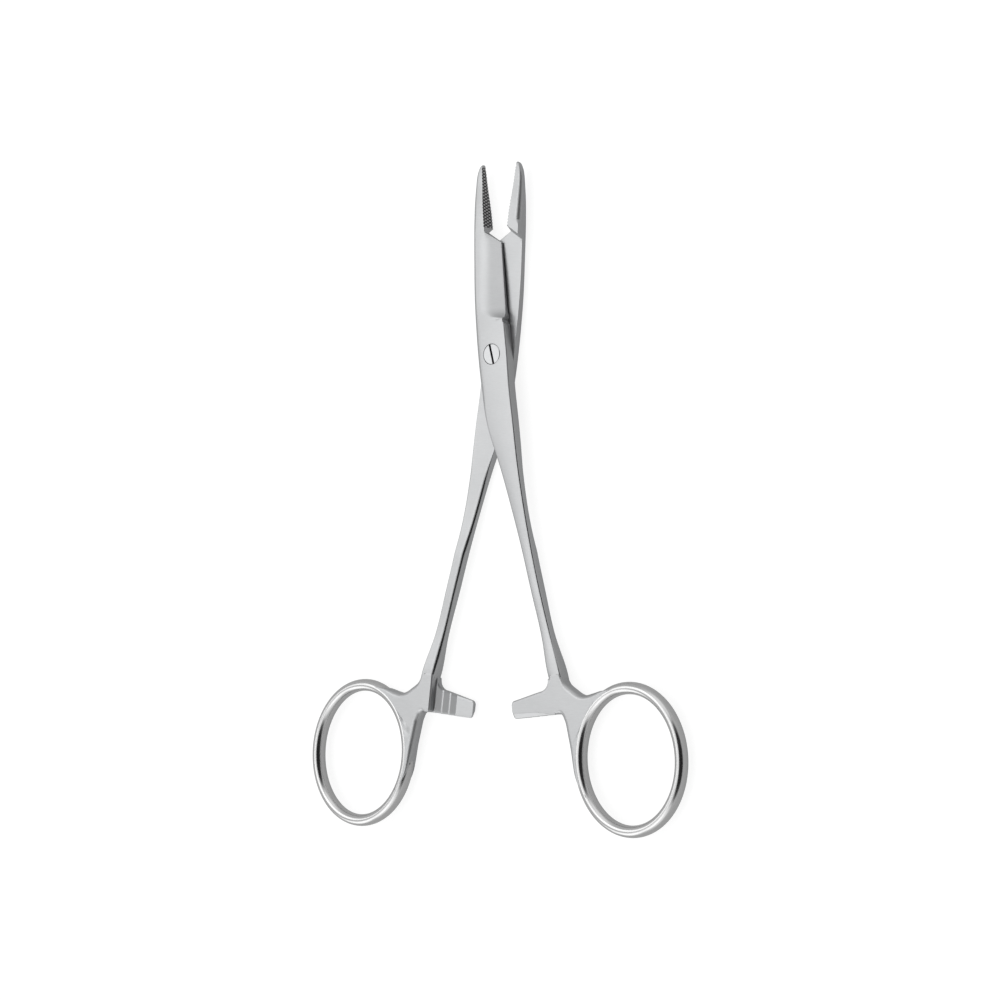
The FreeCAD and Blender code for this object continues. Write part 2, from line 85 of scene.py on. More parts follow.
# y, left side, right side, back, front, rounding of the spine
STATIONS = np.array([
    (39.55, -0.45, 3.6, -0.50, 0.50, 0.30),
    (38.5, -1.15, 3.6, -0.65, 0.65, 0.50),
    (36.0, -1.95, 3.6, -0.85, 0.85, 0.75),
    (32.5, -2.45, 3.6, -1.20, 1.20, 1.00),
    (29.0, -2.80, 3.6, -1.475, 1.475, 0.92),
    (25.4, -3.05, 3.6, -1.575, 1.575, 0.74),
    (16.0, -3.65, 3.6, -1.575, 1.95, 0.90),
    (7.0, -4.00, 3.65, -1.575, 2.25, 1.05),
    (0.0, -4.05, 3.80, -1.575, 2.25, 1.10),
    (-6.7, -3.75, 3.75, -1.575, 2.25, 1.10),
    (-14.0, -2.80, 4.00, -1.05, 2.20, 0.40),
    (-22.0, -0.775, 4.175, -1.05, 2.00, 0.40),
    (-28.2, 0.575, 4.425, -1.05, 1.70, 0.40),
    (-34.5, 1.715, 4.785, -1.05, 1.30, 0.40),
    (-41.0, 2.875, 5.425, -1.05, 1.05, 0.40),
    (-50.0, 4.50, 6.86, -1.05, 1.05, 0.40),
    (-60.0, 6.265, 8.835, -1.05, 1.05, 0.40),
    (-66.3, 7.30, 10.46, -1.506, 1.506, 0.40),
    (-67.8, 7.63, 10.73, -1.46, 1.46, 0.40),
])


def spline(knots, values, at):
    """Natural cubic spline.

    The second slopes at the knots solve the usual rows of three terms, and each span is a cubic.
    """
    order = np.argsort(knots)
    x, y = np.asarray(knots, float)[order], np.asarray(values, float)[order]
    gaps = np.diff(x)
    rows = np.diag(np.r_[1, 2 * (gaps[:-1] + gaps[1:]), 1])
    rows += np.diag(np.r_[0, gaps[1:]], 1) + np.diag(np.r_[gaps[:-1], 0], -1)
    rises = np.diff(y) / gaps
    bend = np.linalg.solve(rows, np.r_[0, 6 * np.diff(rises), 0])
    span = np.clip(np.searchsorted(x, at) - 1, 0, len(gaps) - 1)
    h, a, b = gaps[span], x[span + 1] - at, at - x[span]
    return (bend[span] * a ** 3 + bend[span + 1] * b ** 3) / (6 * h) \
        + (y[span] / h - bend[span] * h / 6) * a + (y[span + 1] / h - bend[span + 1] * h / 6) * b


def ease(share):
    """Smooth step from 0 to 1: three times the square less twice the cube of the clipped share."""
    share = np.clip(share, 0, 1)
    return share * share * (3 - 2 * share)


def round_corners(corners, radii, arc_points, edge_points):
    """Closed sections with rounded corners, one per station.

    A corner's arc starts at the tangent length, radius over the tangent of half the inner angle, kept
    under half of each side. It is a rational curve of second degree, whose middle point weighs the
    sine of half the inner angle, which makes it a true circle. Sides are divided evenly.
    """
    before = np.roll(corners, 1, axis=1) - corners
    after = np.roll(corners, -1, axis=1) - corners
    length_before = np.linalg.norm(before, axis=2)
    length_after = np.linalg.norm(after, axis=2)
    before = before / np.maximum(length_before, 1e-9)[..., None]
    after = after / np.maximum(length_after, 1e-9)[..., None]
    inner = np.arccos(np.clip((before * after).sum(2), -0.99999, 0.99999))
    tangent = np.minimum(radii / np.tan(inner / 2), 0.49 * np.minimum(length_before, length_after))
    first = corners + before * tangent[..., None]
    last = corners + after * tangent[..., None]
    rows = []
    for k, (arc, edge) in enumerate(zip(arc_points, edge_points)):
        turn = np.linspace(0, 1, arc)[None, :, None]
        weight = np.sin(inner[:, k] / 2)[:, None, None]
        p0, p1, p2 = first[:, k, None], corners[:, k, None], last[:, k, None]
        lower = (1 - turn) ** 2 + 2 * weight * turn * (1 - turn) + turn ** 2
        upper = (1 - turn) ** 2 * p0 + 2 * weight * turn * (1 - turn) * p1 + turn ** 2 * p2
        rows.append(upper / lower)
        step = (np.arange(1, edge + 1) / (edge + 1))[None, :, None]
        following = first[:, (k + 1) % corners.shape[1], None]
        rows.append(p2 + (following - p2) * step)
    return np.concatenate(rows, axis=1)


def tube(points, closed=False):
    """Vertices and faces of a surface through rings of points, with flat ends unless it closes."""
    rings, around = points.shape[:2]
    index = np.arange(rings * around).reshape(rings, around)
    if closed:
        index = np.vstack([index, index[:1]])
    a, b = index[:-1], index[1:]
    quads = np.stack([a, np.roll(a, -1, 1), np.roll(b, -1, 1), b], -1).reshape(-1, 4)
    faces = quads.tolist()
    if not closed:
        faces += [index[0][::-1].tolist(), index[-1].tolist()]
    return points.reshape(-1, 3), faces


def solid(name, points, faces, finish=0, groove=0.0):
    """A mesh object from points in millimetres, merged where points meet and turned to face outwards.

    The finish is the index of its material. Two values are kept at each point: groove, the depth of
    the serration as a share of the full depth, and felt, how far the felt wheel has polished it.
    """
    mesh = bpy.data.meshes.new(name)
    mesh.from_pydata((np.asarray(points) * MM).tolist(), [], faces)
    values = np.zeros(len(mesh.vertices), np.float32) + np.float32(groove)
    mesh.attributes.new("groove", "FLOAT", "POINT").data.foreach_set("value", values)
    piece = bpy.data.objects.new(name, mesh)
    bpy.context.scene.collection.objects.link(piece)
    tidy(mesh)
    mesh.polygons.foreach_set("material_index", np.full(len(mesh.polygons), finish, np.int32))
    # Sides below the joint go over the felt wheel with the rings; arms and flats stay satin
    place, normal = np.empty((2, len(mesh.vertices) * 3), np.float32)
    mesh.vertices.foreach_get("co", place)
    mesh.vertices.foreach_get("normal", normal)
    below = ease((FELT_START - place[1::3] / MM) / FELT_RUN)
    sideways = ease((FELT_FLAT - np.abs(normal[2::3])) / FELT_FADE)
    worn = below * sideways * (name != "arm")
    mesh.attributes.new("felt", "FLOAT", "POINT").data.foreach_set("value", worn.astype(np.float32))
    return piece


def tidy(mesh, gap=0.002):
    """Merge points closer than the gap, drop flat slivers and turn all faces outwards."""
    work = bmesh.new()
    work.from_mesh(mesh)
    bmesh.ops.remove_doubles(work, verts=work.verts, dist=gap * MM)
    bmesh.ops.dissolve_degenerate(work, edges=work.edges, dist=gap * MM * 0.5)
    wide = [face for face in work.faces if len(face.verts) > 4]
    bmesh.ops.triangulate(work, faces=wide, ngon_method="EAR_CLIP")
    bmesh.ops.recalc_face_normals(work, faces=work.faces)
    work.to_mesh(mesh)
    work.free()


def limb_stations():
    """Stations along the forging: close where it is serrated or a cut starts, wide elsewhere."""
    spans = [(39.55, 26.1, 0.076), (26.1, 22.3, 0.06), (22.3, 10.2, 0.45), (10.2, 6.8, 0.08),
             (6.8, -6.7, 0.45), (-6.7, -67.8, 0.8)]
    rows = [np.linspace(top, low, int(round((top - low) / step)), endpoint=False)
            for top, low, step in spans]
    return np.concatenate(rows + [np.array([spans[-1][1]])])


def limb():
    """Jaw, blade, joint and shank as sections along y.

    A section is a polygon of seven corners: spine, start of the bevel, front edge, foot of the gripping
    side, top and foot of the heel, and back of the spine. Where a cut is absent, its corners lie on the
    side of the polygon, and where two cuts meet, they run together.
    """
    y = limb_stations()
    left, right, back, front, spine = (spline(STATIONS[:, 0], STATIONS[:, k], y) for k in range(1, 6))
    # The tip is rounded over its last half millimetre
    end = np.sqrt(np.clip(1 - (np.clip(y - TIP_START, 0, None) / TIP_RUN) ** 2, 0.02, 1))
    left = left * (TIP_WIDTH + (1 - TIP_WIDTH) * end)
    front, back = (side * (TIP_DEPTH + (1 - TIP_DEPTH) * end) for side in (front, back))
    jaw = y >= FOOT
    # The blade is cut back to its reach, and flares into the joint at its end
    blade = BLADE_REACH + FLARE * ease((FLARE_START - y) / FLARE_RUN)
    right = np.where(y > BLADE_END, np.minimum(right, blade), right)
    right = np.where(jaw, GRIP, np.minimum(right, GRIP + (FOOT - y) / ROOF_SLOPE))
    # Ground front of the blade: it leans to the edge, and the wheel leaves a rounded root
    low = np.interp(y, [BEVEL_LOW[0], BEVEL_TOP[0]], [BEVEL_LOW[1], BEVEL_TOP[1]])
    root = np.clip((BEVEL_LOW[0] - y) / WHEEL, 0, 1)
    above_all = 9
    low = low + WHEEL * (1 - np.sqrt(1 - root ** 2))
    low = low + np.where(y < BEVEL_LOW[0] - WHEEL, above_all, 0)
    start = BLADE_REACH - (front - low) / BEVEL
    ground = start < right - 0.02
    start = np.where(ground, np.maximum(start, left + spine + 0.1), (left + 2 * right) / 3)
    edge = np.where(ground, np.minimum(front, low + (BLADE_REACH - right) * BEVEL), front)
    # Face on which the halves lie, hollowed a little along the blade, and the ramp down to the shank
    middle, reach = (SET_ENDS[0] + SET_ENDS[1]) / 2, (SET_ENDS[1] - SET_ENDS[0]) / 2
    lap = LAP + SET_HEIGHT * np.clip(1 - ((y - middle) / reach) ** 2, 0, None)
    run, drop = RAMP[0] - RAMP[1], SHANK_HALF + LAP
    sweep = (run * run + drop * drop) / (2 * drop)
    way = np.clip(RAMP[0] - y, 0, run)
    ramp = LAP - (sweep - np.sqrt(sweep ** 2 - way ** 2))
    floor = np.where(y < RAMP[0], np.where(y < RAMP[1], back, np.maximum(back, ramp)), lap)
    # Heel: the back of the jaw ends in a wall that leans away from the other blade
    above = np.clip((FOOT - y), 0, None)
    heel_top = np.maximum(GRIP - above / HEEL_SLOPE, left)
    past = y - FOOT
    grip_foot = np.where(jaw, np.maximum(lap - past / HEEL_LEAN, back), lap)
    heel_low = np.minimum(GRIP - (FOOT - y - HEEL_LEAN * (back - LAP)) / HEEL_SLOPE, GRIP)
    wall = np.clip((GRIP - left) * HEEL_SLOPE - (FOOT - y), 0, None) / HEEL_LEAN
    at_left = heel_low < left
    heel_low_z = np.where(at_left, np.maximum(lap - wall, back), back)
    heel_low = np.maximum(heel_low, left)
    whole = y > FOOT + HEEL_LEAN * (LAP - back)
    none = heel_top <= left + 1e-6
    # Away from the heel its two corners drift apart along the flat back
    top_rest, low_rest = right + (left - right) * 0.15, right + (left - right) * 0.3
    drift_above, drift_below, drift_run = 0.7, 23.55, 0.4
    clear = np.where(whole, ease((past - drift_above) / drift_run),
                     np.where(none, ease((drift_below - y) / drift_run), 0))
    bottom = np.where(whole, back, floor)
    upper_x = np.where(jaw, GRIP, heel_top)
    upper_z = np.where(jaw, grip_foot, lap)
    upper_x = np.where(whole | none, upper_x + (top_rest - upper_x) * clear, upper_x)
    lower_x = np.where(whole | none, heel_low + (low_rest - heel_low) * clear, heel_low)
    upper_z = np.where(whole | none, bottom, upper_z)
    lower_z = np.where(whole | none, bottom, heel_low_z)
    grip_foot = np.where(whole, back, np.where(jaw, grip_foot, floor))
    left_foot = np.where(whole, back, np.where(none, floor, heel_low_z))
    corners = np.stack([
        np.stack([left, front], -1), np.stack([start, front], -1), np.stack([right, edge], -1),
        np.stack([right, grip_foot], -1), np.stack([upper_x, upper_z], -1),
        np.stack([lower_x, lower_z], -1),
        np.stack([left, left_foot], -1)], 1)
    # Roundings in the order of the corners
    shank = ease((SHANK_ROUND_START - y) / SHANK_ROUND_RUN)
    soft = np.interp(y, [-6.7, 6.0, 7.4], [0.3, 0.3, 0.1])
    radii = np.stack([
        np.minimum(spine, (front - left_foot) * 0.48), np.where(ground, 9.0, 0.35), soft,
        0.06 + 0.4 * shank, 0.04 + 0 * y, 0.04 + 0 * y,
        np.where(jaw, 0.06, 0.06 + 0.9 * shank)], 1)
    radii[:, 6] = np.where(whole, 1.3 * ease((past - 0.9) / 2.2) + 0.06, radii[:, 6])
    section = round_corners(corners, radii, (9, 8, 5, 5, 3, 3, 8), (6, 10, 38, 8, 6, 6, 5))
    rings = np.stack([section[..., 0], np.repeat(y[:, None], section.shape[1], 1), section[..., 1]], -1)
    # The front is a little crowned by the belt that it was ground on
    across = (section[..., 0] - (left + right)[:, None] / 2) / ((right - left)[:, None] / 2)
    crown = np.interp(y, [7.0, 12.0, 39.5], [0.14, 0.05, 0.03])[:, None]
    rings[..., 2] -= crown * across ** 2 * np.clip(rings[..., 2] / front[:, None], 0, 1)
    depth = groove_depth(rings[..., 0], rings[..., 1], rings[..., 2])
    rings[..., 0] -= depth
    return rings, depth.ravel() / SERRATION_DEPTH


def groove_depth(x, y, z):
    """Depth of the crossed V grooves in the gripping face, two rows that make long diamonds.

    The depth is the larger of two triangle waves over the pitch, of y plus and less the slant times z.
    The waves' lowest part stays flat as lands. The depth fades out at the tip and at the foot, and away
    from the gripping plane.
    """
    wave = [np.abs(((y + side * SERRATION_SLANT * z) / SERRATION_PITCH) % 1 - 0.5) * 2
            for side in (1, -1)]
    depth = np.maximum(wave[0], wave[1])
    depth = np.clip((depth - SERRATION_LAND) / (1 - SERRATION_LAND), 0, 1) * SERRATION_DEPTH
    near = np.clip(1 - (GRIP - x) / SERRATION_FADE, 0, 1) * (x < GRIP + 1e-4)
    foot, tip = SERRATION_ENDS
    along = ease((y - foot) / SERRATION_RUN) * ease((tip - y) / SERRATION_RUN)
    return depth * near * along


RING_CENTRE = np.array([25.2, -84.85])
RING_HALF = np.array([12.2, 14.1])
RING_WALL = 2.45
RING_DEPTH = 3.05
RIM_ENDS = (-38.0, 98.0)
RIM_MARGIN = 0.4
WEB_HALF = 1.5
WEB_EDGE = 0.4
WEB_SOFT = 0.6
SOFT_START, SOFT_RUN = (8.6, -67.6), (1.2, 1.5)
RING_CLEAR, RING_FADE = 0.1, 2.2
OUTLINE_STEP = 0.16


def finger_ring(around=288, across=44):
    """Oval section carried along an oval.

    A point is the middle line's, plus half the wall times a cosine along the line's normal, and half
    the depth times the sine up.
    """
    t = np.linspace(0, 2 * np.pi, around, endpoint=False)[:, None]
    s = np.linspace(0, 2 * np.pi, across, endpoint=False)[None, :]
    line = RING_CENTRE + np.concatenate([-np.cos(t) * RING_HALF[0], np.sin(t) * RING_HALF[1]], 1)
    normal = np.concatenate([-np.cos(t) * RING_HALF[1], np.sin(t) * RING_HALF[0]], 1)
    normal /= np.linalg.norm(normal, axis=1)[:, None]
    side = np.cos(s) * RING_WALL / 2
    height = np.sin(s) * RING_DEPTH / 2
    plan = line[:, None, :] + normal[:, None, :] * side[..., None]
    return np.concatenate([plan, np.broadcast_to(height[..., None], plan.shape[:2] + (1,))], -1)


def rim_point(turn):
    """A point of the ring's middle line, turned up from its outermost side by degrees."""
    angle = np.radians(turn)
    return RING_CENTRE + np.stack([-np.cos(angle) * RING_HALF[0], np.sin(angle) * RING_HALF[1]], -1)


def web_outline():
    """Plan of the web: corners with their roundings, and the ring's middle line on its inner side."""
    low, head = rim_point(RIM_ENDS[0]), rim_point(RIM_ENDS[1])
    arc, before_rim = 12, 7
    corners = np.array([
        (7.64, -66.2, 0.62), (7.6, -68.4, 0.8), (7.6, -74.24, 0.52), (9.9, -74.3, 1.2),
        (10.6, -76.3, 2.5), (12.15, -87.5, 9.0), (low[0], low[1], 0.02), (head[0], head[1], 0.02),
        (19.9, -70.74, 9.0), (15.12, -71.37, 3.7), (10.885, -68.05, 9.8), (10.2, -66.2, 0.62)])
    plan = round_corners(corners[None, :, :2], corners[None, :, 2], (arc,) * len(corners),
                         (0,) * len(corners))[0]
    inner = rim_point(np.linspace(RIM_ENDS[0] + RIM_MARGIN, RIM_ENDS[1] - RIM_MARGIN, 100))
    split = before_rim * arc
    return np.concatenate([plan[:split], inner, plan[split:]])


def even(points, step):
    """The closed outline again, with points spaced evenly along it."""
    loop = np.vstack([points, points[:1]])
    way = np.r_[0, np.cumsum(np.linalg.norm(np.diff(loop, axis=0), axis=1))]
    at = np.linspace(0, way[-1], int(way[-1] / step), endpoint=False)
    return np.stack([np.interp(at, way, loop[:, k]) for k in range(2)], -1)


def plate(outline, low, high, edge, steps=7):
    """Plate with rounded edges: the outline moved inwards by r less r cosine as it rises by r sine.

    The radius r is larger round the ring's side, where the forging is rounded by the felt wheel, and
    fades to nothing where the outline reaches the ring's middle line, inside the ring. A narrow flat
    ring follows each rounding, so that the end faces stay level.
    """
    off = np.abs(np.linalg.norm((outline - RING_CENTRE) / RING_HALF, axis=1) - 1) * RING_HALF.mean()
    free = ease((SOFT_START[1] - outline[:, 1]) / SOFT_RUN[1])
    free = free * ease((outline[:, 0] - SOFT_START[0]) / SOFT_RUN[0])
    edge = (edge + WEB_SOFT * free) * ease((off - RING_CLEAR) / RING_FADE)
    edge = edge[None, :, None]
    ahead = np.roll(outline, -1, 0) - np.roll(outline, 1, 0)
    ahead /= np.linalg.norm(ahead, axis=1)[:, None]
    inward = np.stack([-ahead[:, 1], ahead[:, 0]], -1)
    following = np.roll(outline, -1, 0)
    area = np.sum(outline[:, 0] * following[:, 1] - outline[:, 1] * following[:, 0])
    inward *= np.sign(area)
    turn = np.linspace(0, np.pi / 2, steps)
    sine, cosine = np.sin(turn)[:, None, None], np.cos(turn)[:, None, None]
    flat = edge + 0.06 * ease(edge / 0.3)
    moved = np.concatenate([flat, edge * (1 - sine), edge * (1 - cosine), flat])
    level = np.concatenate([low + 0 * edge, low + edge * (1 - cosine),
                            high - edge * (1 - sine), high + 0 * edge])
    return np.concatenate([outline[None] + inward[None] * moved, level], -1)


ARM_END = -2.15
ARM_CORNER = 0.6
ARM_CLEAR = 0.06
ARM_FRONT = 1.494
ARM_INNER = ((-1.55, 5.0), (-70.55, -69.4))
ARM_OUTER = ((-1.55, 9.9), (-74.22, -74.3))
ARM_ROOT, ARM_FILLET, ARM_FILLET_Y = 5.0, 2.4, -67
ARM_BEVEL = ((ARM_END, 4.0, 8.0), (1.05, 0.8, 0.0))
ARM_BEVEL_RISE, ARM_BEVEL_GAP = 0.45, 0.02
TOOTH_COUNT = 3
TOOTH_START = 1.75
TOOTH_PITCH = 1.95
TOOTH_HEIGHT = 0.75
LEAD_RUN = 4.9


def ratchet_arm():
    """Arm as sections along x. Its back is a saw: each tooth has a worn flat crest, drops square on the
    side of the ring, and a ramp climbs to the next crest."""
    teeth = TOOTH_START + TOOTH_PITCH * np.arange(TOOTH_COUNT)
    walls = (teeth[:, None] + [-0.002, 0.06, 0.12, 1.5, 1.56, 1.62, 1.68, 1.93]).ravel()
    x = np.unique(np.concatenate([
        ARM_END + ARM_CORNER * (1 - np.cos(np.linspace(0, np.pi / 2, 9))),
        np.linspace(-1.5, ARM_ROOT, 24), walls,
        ARM_ROOT + ARM_FILLET * np.sin(np.linspace(0, np.pi / 2, 16)), [8.0, 8.6]]))
    upper = np.interp(x, *ARM_INNER)
    fillet = ARM_FILLET_Y - np.sqrt(np.clip(ARM_FILLET ** 2 - (x - ARM_ROOT) ** 2, 0, None))
    upper = np.where(x > ARM_ROOT, fillet, upper)
    lower = np.interp(x, *ARM_OUTER)
    way = np.clip(ARM_END + ARM_CORNER - x, 0, None)
    corner = ARM_CORNER - np.sqrt(np.clip(ARM_CORNER ** 2 - way ** 2, 0, None))
    upper, lower = upper - corner, lower + corner
    place = (x - TOOTH_START) / TOOTH_PITCH
    share = place % 1
    rise = np.interp(share, [0, 0.031, 0.0615, 0.80, 0.862, 1], [0, 0.93, 1, 0.07, 0, 0])
    toothed = (place >= 0) & (place < TOOTH_COUNT)
    back = ARM_CLEAR + np.where(toothed, TOOTH_HEIGHT * rise, 0)
    lead = ARM_CLEAR + TOOTH_HEIGHT * (TOOTH_START - x) / LEAD_RUN
    back = np.where(x < TOOTH_START, lead, back)
    back = np.where(place >= TOOTH_COUNT, ARM_CLEAR, back)
    front = np.full_like(x, ARM_FRONT)
    bevel = np.interp(x, *ARM_BEVEL)
    corners = np.stack([
        np.stack([lower, back], -1), np.stack([upper, back], -1), np.stack([upper, front], -1),
        np.stack([lower + bevel + ARM_BEVEL_GAP, front], -1),
        np.stack([lower, front - ARM_BEVEL_RISE * bevel - ARM_BEVEL_GAP], -1)], 1)
    radii = np.array([0.12, 0.12, 0.4, 0.4, 0.2]) + 0 * x[:, None]
    section = round_corners(corners, radii, (3, 3, 8, 5, 5), (8, 4, 8, 3, 3))
    return np.stack([np.repeat(x[:, None], section.shape[1], 1), section[..., 0], section[..., 1]], -1)


def cylinder(centre, radius, low, high, sides=96):
    """Straight round cutter: a circle carried from one height to another."""
    turn = np.linspace(0, 2 * np.pi, sides, endpoint=False)
    plan = np.asarray(centre) + radius * np.stack([np.cos(turn), np.sin(turn)], -1)
    rows = [np.column_stack([plan, np.full(sides, level)]) for level in (low, high)]
    return np.stack(rows)


def combine(piece, other, operation):
    """Join the other solid to the piece or cut it from the piece, and drop the other."""
    change = piece.modifiers.new("combine", "BOOLEAN")
    change.operation = operation
    change.solver = "EXACT"
    change.object = other
    view = bpy.context.evaluated_depsgraph_get()
    mesh = bpy.data.meshes.new_from_object(piece.evaluated_get(view))
    piece.modifiers.clear()
    piece.data = mesh
    bpy.data.objects.remove(other)
    return piece


def drill(piece, name, centre, radius, low=-CUTTER_END):
    """Cut a straight round hole into the piece, from the low level up through its front."""
    combine(piece, solid(name, *tube(cylinder(centre, radius, low, CUTTER_END))), "DIFFERENCE")


def face_places(mesh):
    """Centres in millimetres and normals of a mesh's faces."""
    centre = np.empty(len(mesh.polygons) * 3, np.float32)
    normal = centre.copy()
    mesh.polygons.foreach_get("center", centre)
    mesh.polygons.foreach_get("normal", normal)
    return centre.reshape(-1, 3) / MM, normal.reshape(-1, 3)


def forged_half(name):
    """One half in its own frame: limb, web, arm and ring joined, and the blade's root relieved."""
    rings, groove = limb()
    points, faces = tube(rings)
    piece = solid(name, points, faces, 0, groove.astype(np.float32))
    centre, normal = face_places(piece.data)
    along = (centre[:, 1] > SERRATION_ENDS[0]) & (centre[:, 1] < SERRATION_ENDS[1])
    cut = along & (centre[:, 0] > GRIP - 0.2) & (normal[:, 0] > 0.4)
    piece.data.polygons.foreach_set("material_index", np.where(cut, 2, 0).astype(np.int32))
    outline = even(web_outline(), OUTLINE_STEP)
    for part, rings, closed in (("web", plate(outline, -WEB_HALF, WEB_HALF, WEB_EDGE), False),
                                ("arm", ratchet_arm(), False), ("ring", finger_ring(), True)):
        points, faces = tube(rings, closed)
        combine(piece, solid(part, points, faces, 1 if part == "ring" else 0), "UNION")
    drill(piece, "relief", RELIEF_CENTRE, RELIEF_RADIUS)
    return piece


def linear(hex_colour):
    """sRGB hex colour as linear light."""
    parts = [int(hex_colour[k:k + 2], 16) / 255 for k in (1, 3, 5)]
    return [c / 12.92 if c <= 0.04045 else ((c + 0.055) / 1.055) ** 2.4 for c in parts] + [1]


def node(tree, kind, settings=None, **links):
    """Add a node: settings are its attributes or plain inputs, links are sockets for its inputs."""
    made = tree.nodes.new(kind)
    for key, value in (settings or {}).items():
        if key in made.inputs:
            made.inputs[key].default_value = value
        else:
            setattr(made, key, value)
    for key, socket in links.items():
        tree.links.new(socket, made.inputs[key.replace("_", " ")])
    return made


def maths(tree, operation, first, second):
    """Math node on a socket and a second socket or number, given as its result."""
    made = node(tree, "ShaderNodeMath", {"operation": operation})
    tree.links.new(first, made.inputs[0])
    if isinstance(second, bpy.types.NodeSocket):
        tree.links.new(second, made.inputs[1])
    else:
        made.inputs[1].default_value = second
    return made.outputs[0]


def mixed(tree, share, first, second):
    """Mix of two colours by a share, each a socket or a hex colour, given as its result."""
    made = node(tree, "ShaderNodeMix", {"data_type": "RGBA"}, Factor=share)
    for place, colour in ((6, first), (7, second)):
        if isinstance(colour, str):
            made.inputs[place].default_value = linear(colour)
        else:
            tree.links.new(colour, made.inputs[place])
    return made.outputs[2]


def fed(shader, key):
    """The socket that feeds an input of the shader now."""
    return shader.inputs[key].links[0].from_socket


STREAK_SCALE = (700, 9000, 700)
CLOUD_SCALE = 130.0
GRAIN_HEIGHT = 0.00001


def steel(name, colours, roughness, grain, wear):
    """Stainless steel: brushed streaks across the piece, a fine bead grain, and a little cloudiness.

    The streaks run between the two colours and raise the grain. The roughness varies by the wear.
    """
    material = bpy.data.materials.new(name)
    material.use_nodes = True
    tree = material.node_tree
    shader = tree.nodes["Principled BSDF"]
    shader.inputs["Metallic"].default_value = 1
    place = node(tree, "ShaderNodeTexCoord").outputs["Object"]
    streak = node(tree, "ShaderNodeMapping", Vector=place)
    streak.inputs["Scale"].default_value = STREAK_SCALE
    brushed = node(tree, "ShaderNodeTexNoise", {"Scale": 1.0, "Detail": 4.0, "Roughness": 0.6},
                   Vector=streak.outputs[0])
    cloud = node(tree, "ShaderNodeTexNoise", {"Scale": CLOUD_SCALE, "Detail": 3.0}, Vector=place)
    rough = node(tree, "ShaderNodeMapRange", {"To Min": roughness - wear, "To Max": roughness + wear},
                 Value=cloud.outputs["Fac"])
    tree.links.new(rough.outputs[0], shader.inputs["Roughness"])
    tree.links.new(mixed(tree, brushed.outputs["Fac"], *colours), shader.inputs["Base Color"])
    bump = node(tree, "ShaderNodeBump", {"Strength": grain, "Distance": GRAIN_HEIGHT},
                Height=brushed.outputs["Fac"])
    tree.links.new(bump.outputs[0], shader.inputs["Normal"])
    return material


# Flats: glass beaded, then satin brushed across
satin = steel("satin_brushed_steel", ("#B4B5B6", "#C4C5C6"), 0.42, 0.35, 0.05)
# Rings: polished on the felt wheel
polished = steel("felt_polished_steel", ("#C8C8C8", "#CECECE"), 0.20, 0.05, 0.03)

# The satin turns to polish where the felt wheel has been
tree = satin.node_tree
shader = tree.nodes["Principled BSDF"]
wheel = node(tree, "ShaderNodeAttribute", {"attribute_name": "felt"}).outputs["Fac"]
share = node(tree, "ShaderNodeMapRange", {"To Min": 1.0, "To Max": 0.45}, Value=wheel).outputs[0]
tree.links.new(maths(tree, "MULTIPLY", fed(shader, "Roughness"), share), shader.inputs["Roughness"])

# Gripping face: bright worn crests, and painted shade with some grime in the groove bottoms, by the
# depth kept in the mesh
serrated = steel("cut_serration_steel", ("#BEBEBF", "#C6C6C7"), 0.3, 0.2, 0.05)
tree = serrated.node_tree
shader = tree.nodes["Principled BSDF"]
depth = node(tree, "ShaderNodeAttribute", {"attribute_name": "groove"}).outputs["Fac"]
shade = node(tree, "ShaderNodeMapRange", {"From Min": 0.2, "From Max": 0.75}, Value=depth).outputs[0]
# Painted shade with some grime: the deeper the groove, the closer its colour goes to #2C2C2D
tree.links.new(mixed(tree, shade, fed(shader, "Base Color"), "#2C2C2D"), shader.inputs["Base Color"])


def dress(piece, finishes):
    """Give a piece its finishes, smooth its curved faces and keep its cut edges crisp."""
    for material in finishes:
        piece.data.materials.append(material)
    piece.data.shade_smooth()
    piece.data.set_sharp_from_angle(angle=math.radians(32))
    weighted = piece.modifiers.new("flats", "WEIGHTED_NORMAL")
    weighted.keep_sharp = True
    weighted.weight = 80


def placed(piece, turned_over):
    """Move the mesh from the half's own frame to the pair: turned over or not, opened and lifted."""
    over = Matrix.Rotation(math.pi, 4, "Y") if turned_over else Matrix.Identity(4)
    side = -1 if turned_over else 1
    opened = Matrix.Rotation(math.radians(side * HALF_OPENING), 4, "Z")
    piece.data.transform(Matrix.Translation((0, 0, MIDDLE_HEIGHT * MM)) @ opened @ over)


front = forged_half("front_forging")
back = front.copy()
back.data = front.data.copy()
back.name = "back_forging"
bpy.context.scene.collection.objects.link(back)
drill(front, "seat", (0, 0), SEAT_RADIUS, SEAT_FLOOR)
drill(front, "bore", (0, 0), BORE_RADIUS)
drill(back, "thread", (0, 0), THREAD_RADIUS)
for piece, turned_over, body, node_name in ((front, False, "front", "front_half"),
                                            (back, True, "back", "back_half")):
    tidy(piece.data, 0.001)
    placed(piece, turned_over)
    dress(piece, (satin, polished, serrated))
    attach(piece, body)
    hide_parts(node_name)

# Joint screw
# Slotted screw turned from the same steel. Its head lies flush in the front half, with a thin seam
# round it, and its end is ground flush with the back half.

# Heights in millimetres over which the painted shade in the slot fades, up to the head's face and down
# the shaft
HEAD_FADE = (4.0, 4.45)
SHAFT_FADE = (3.6, 3.0)
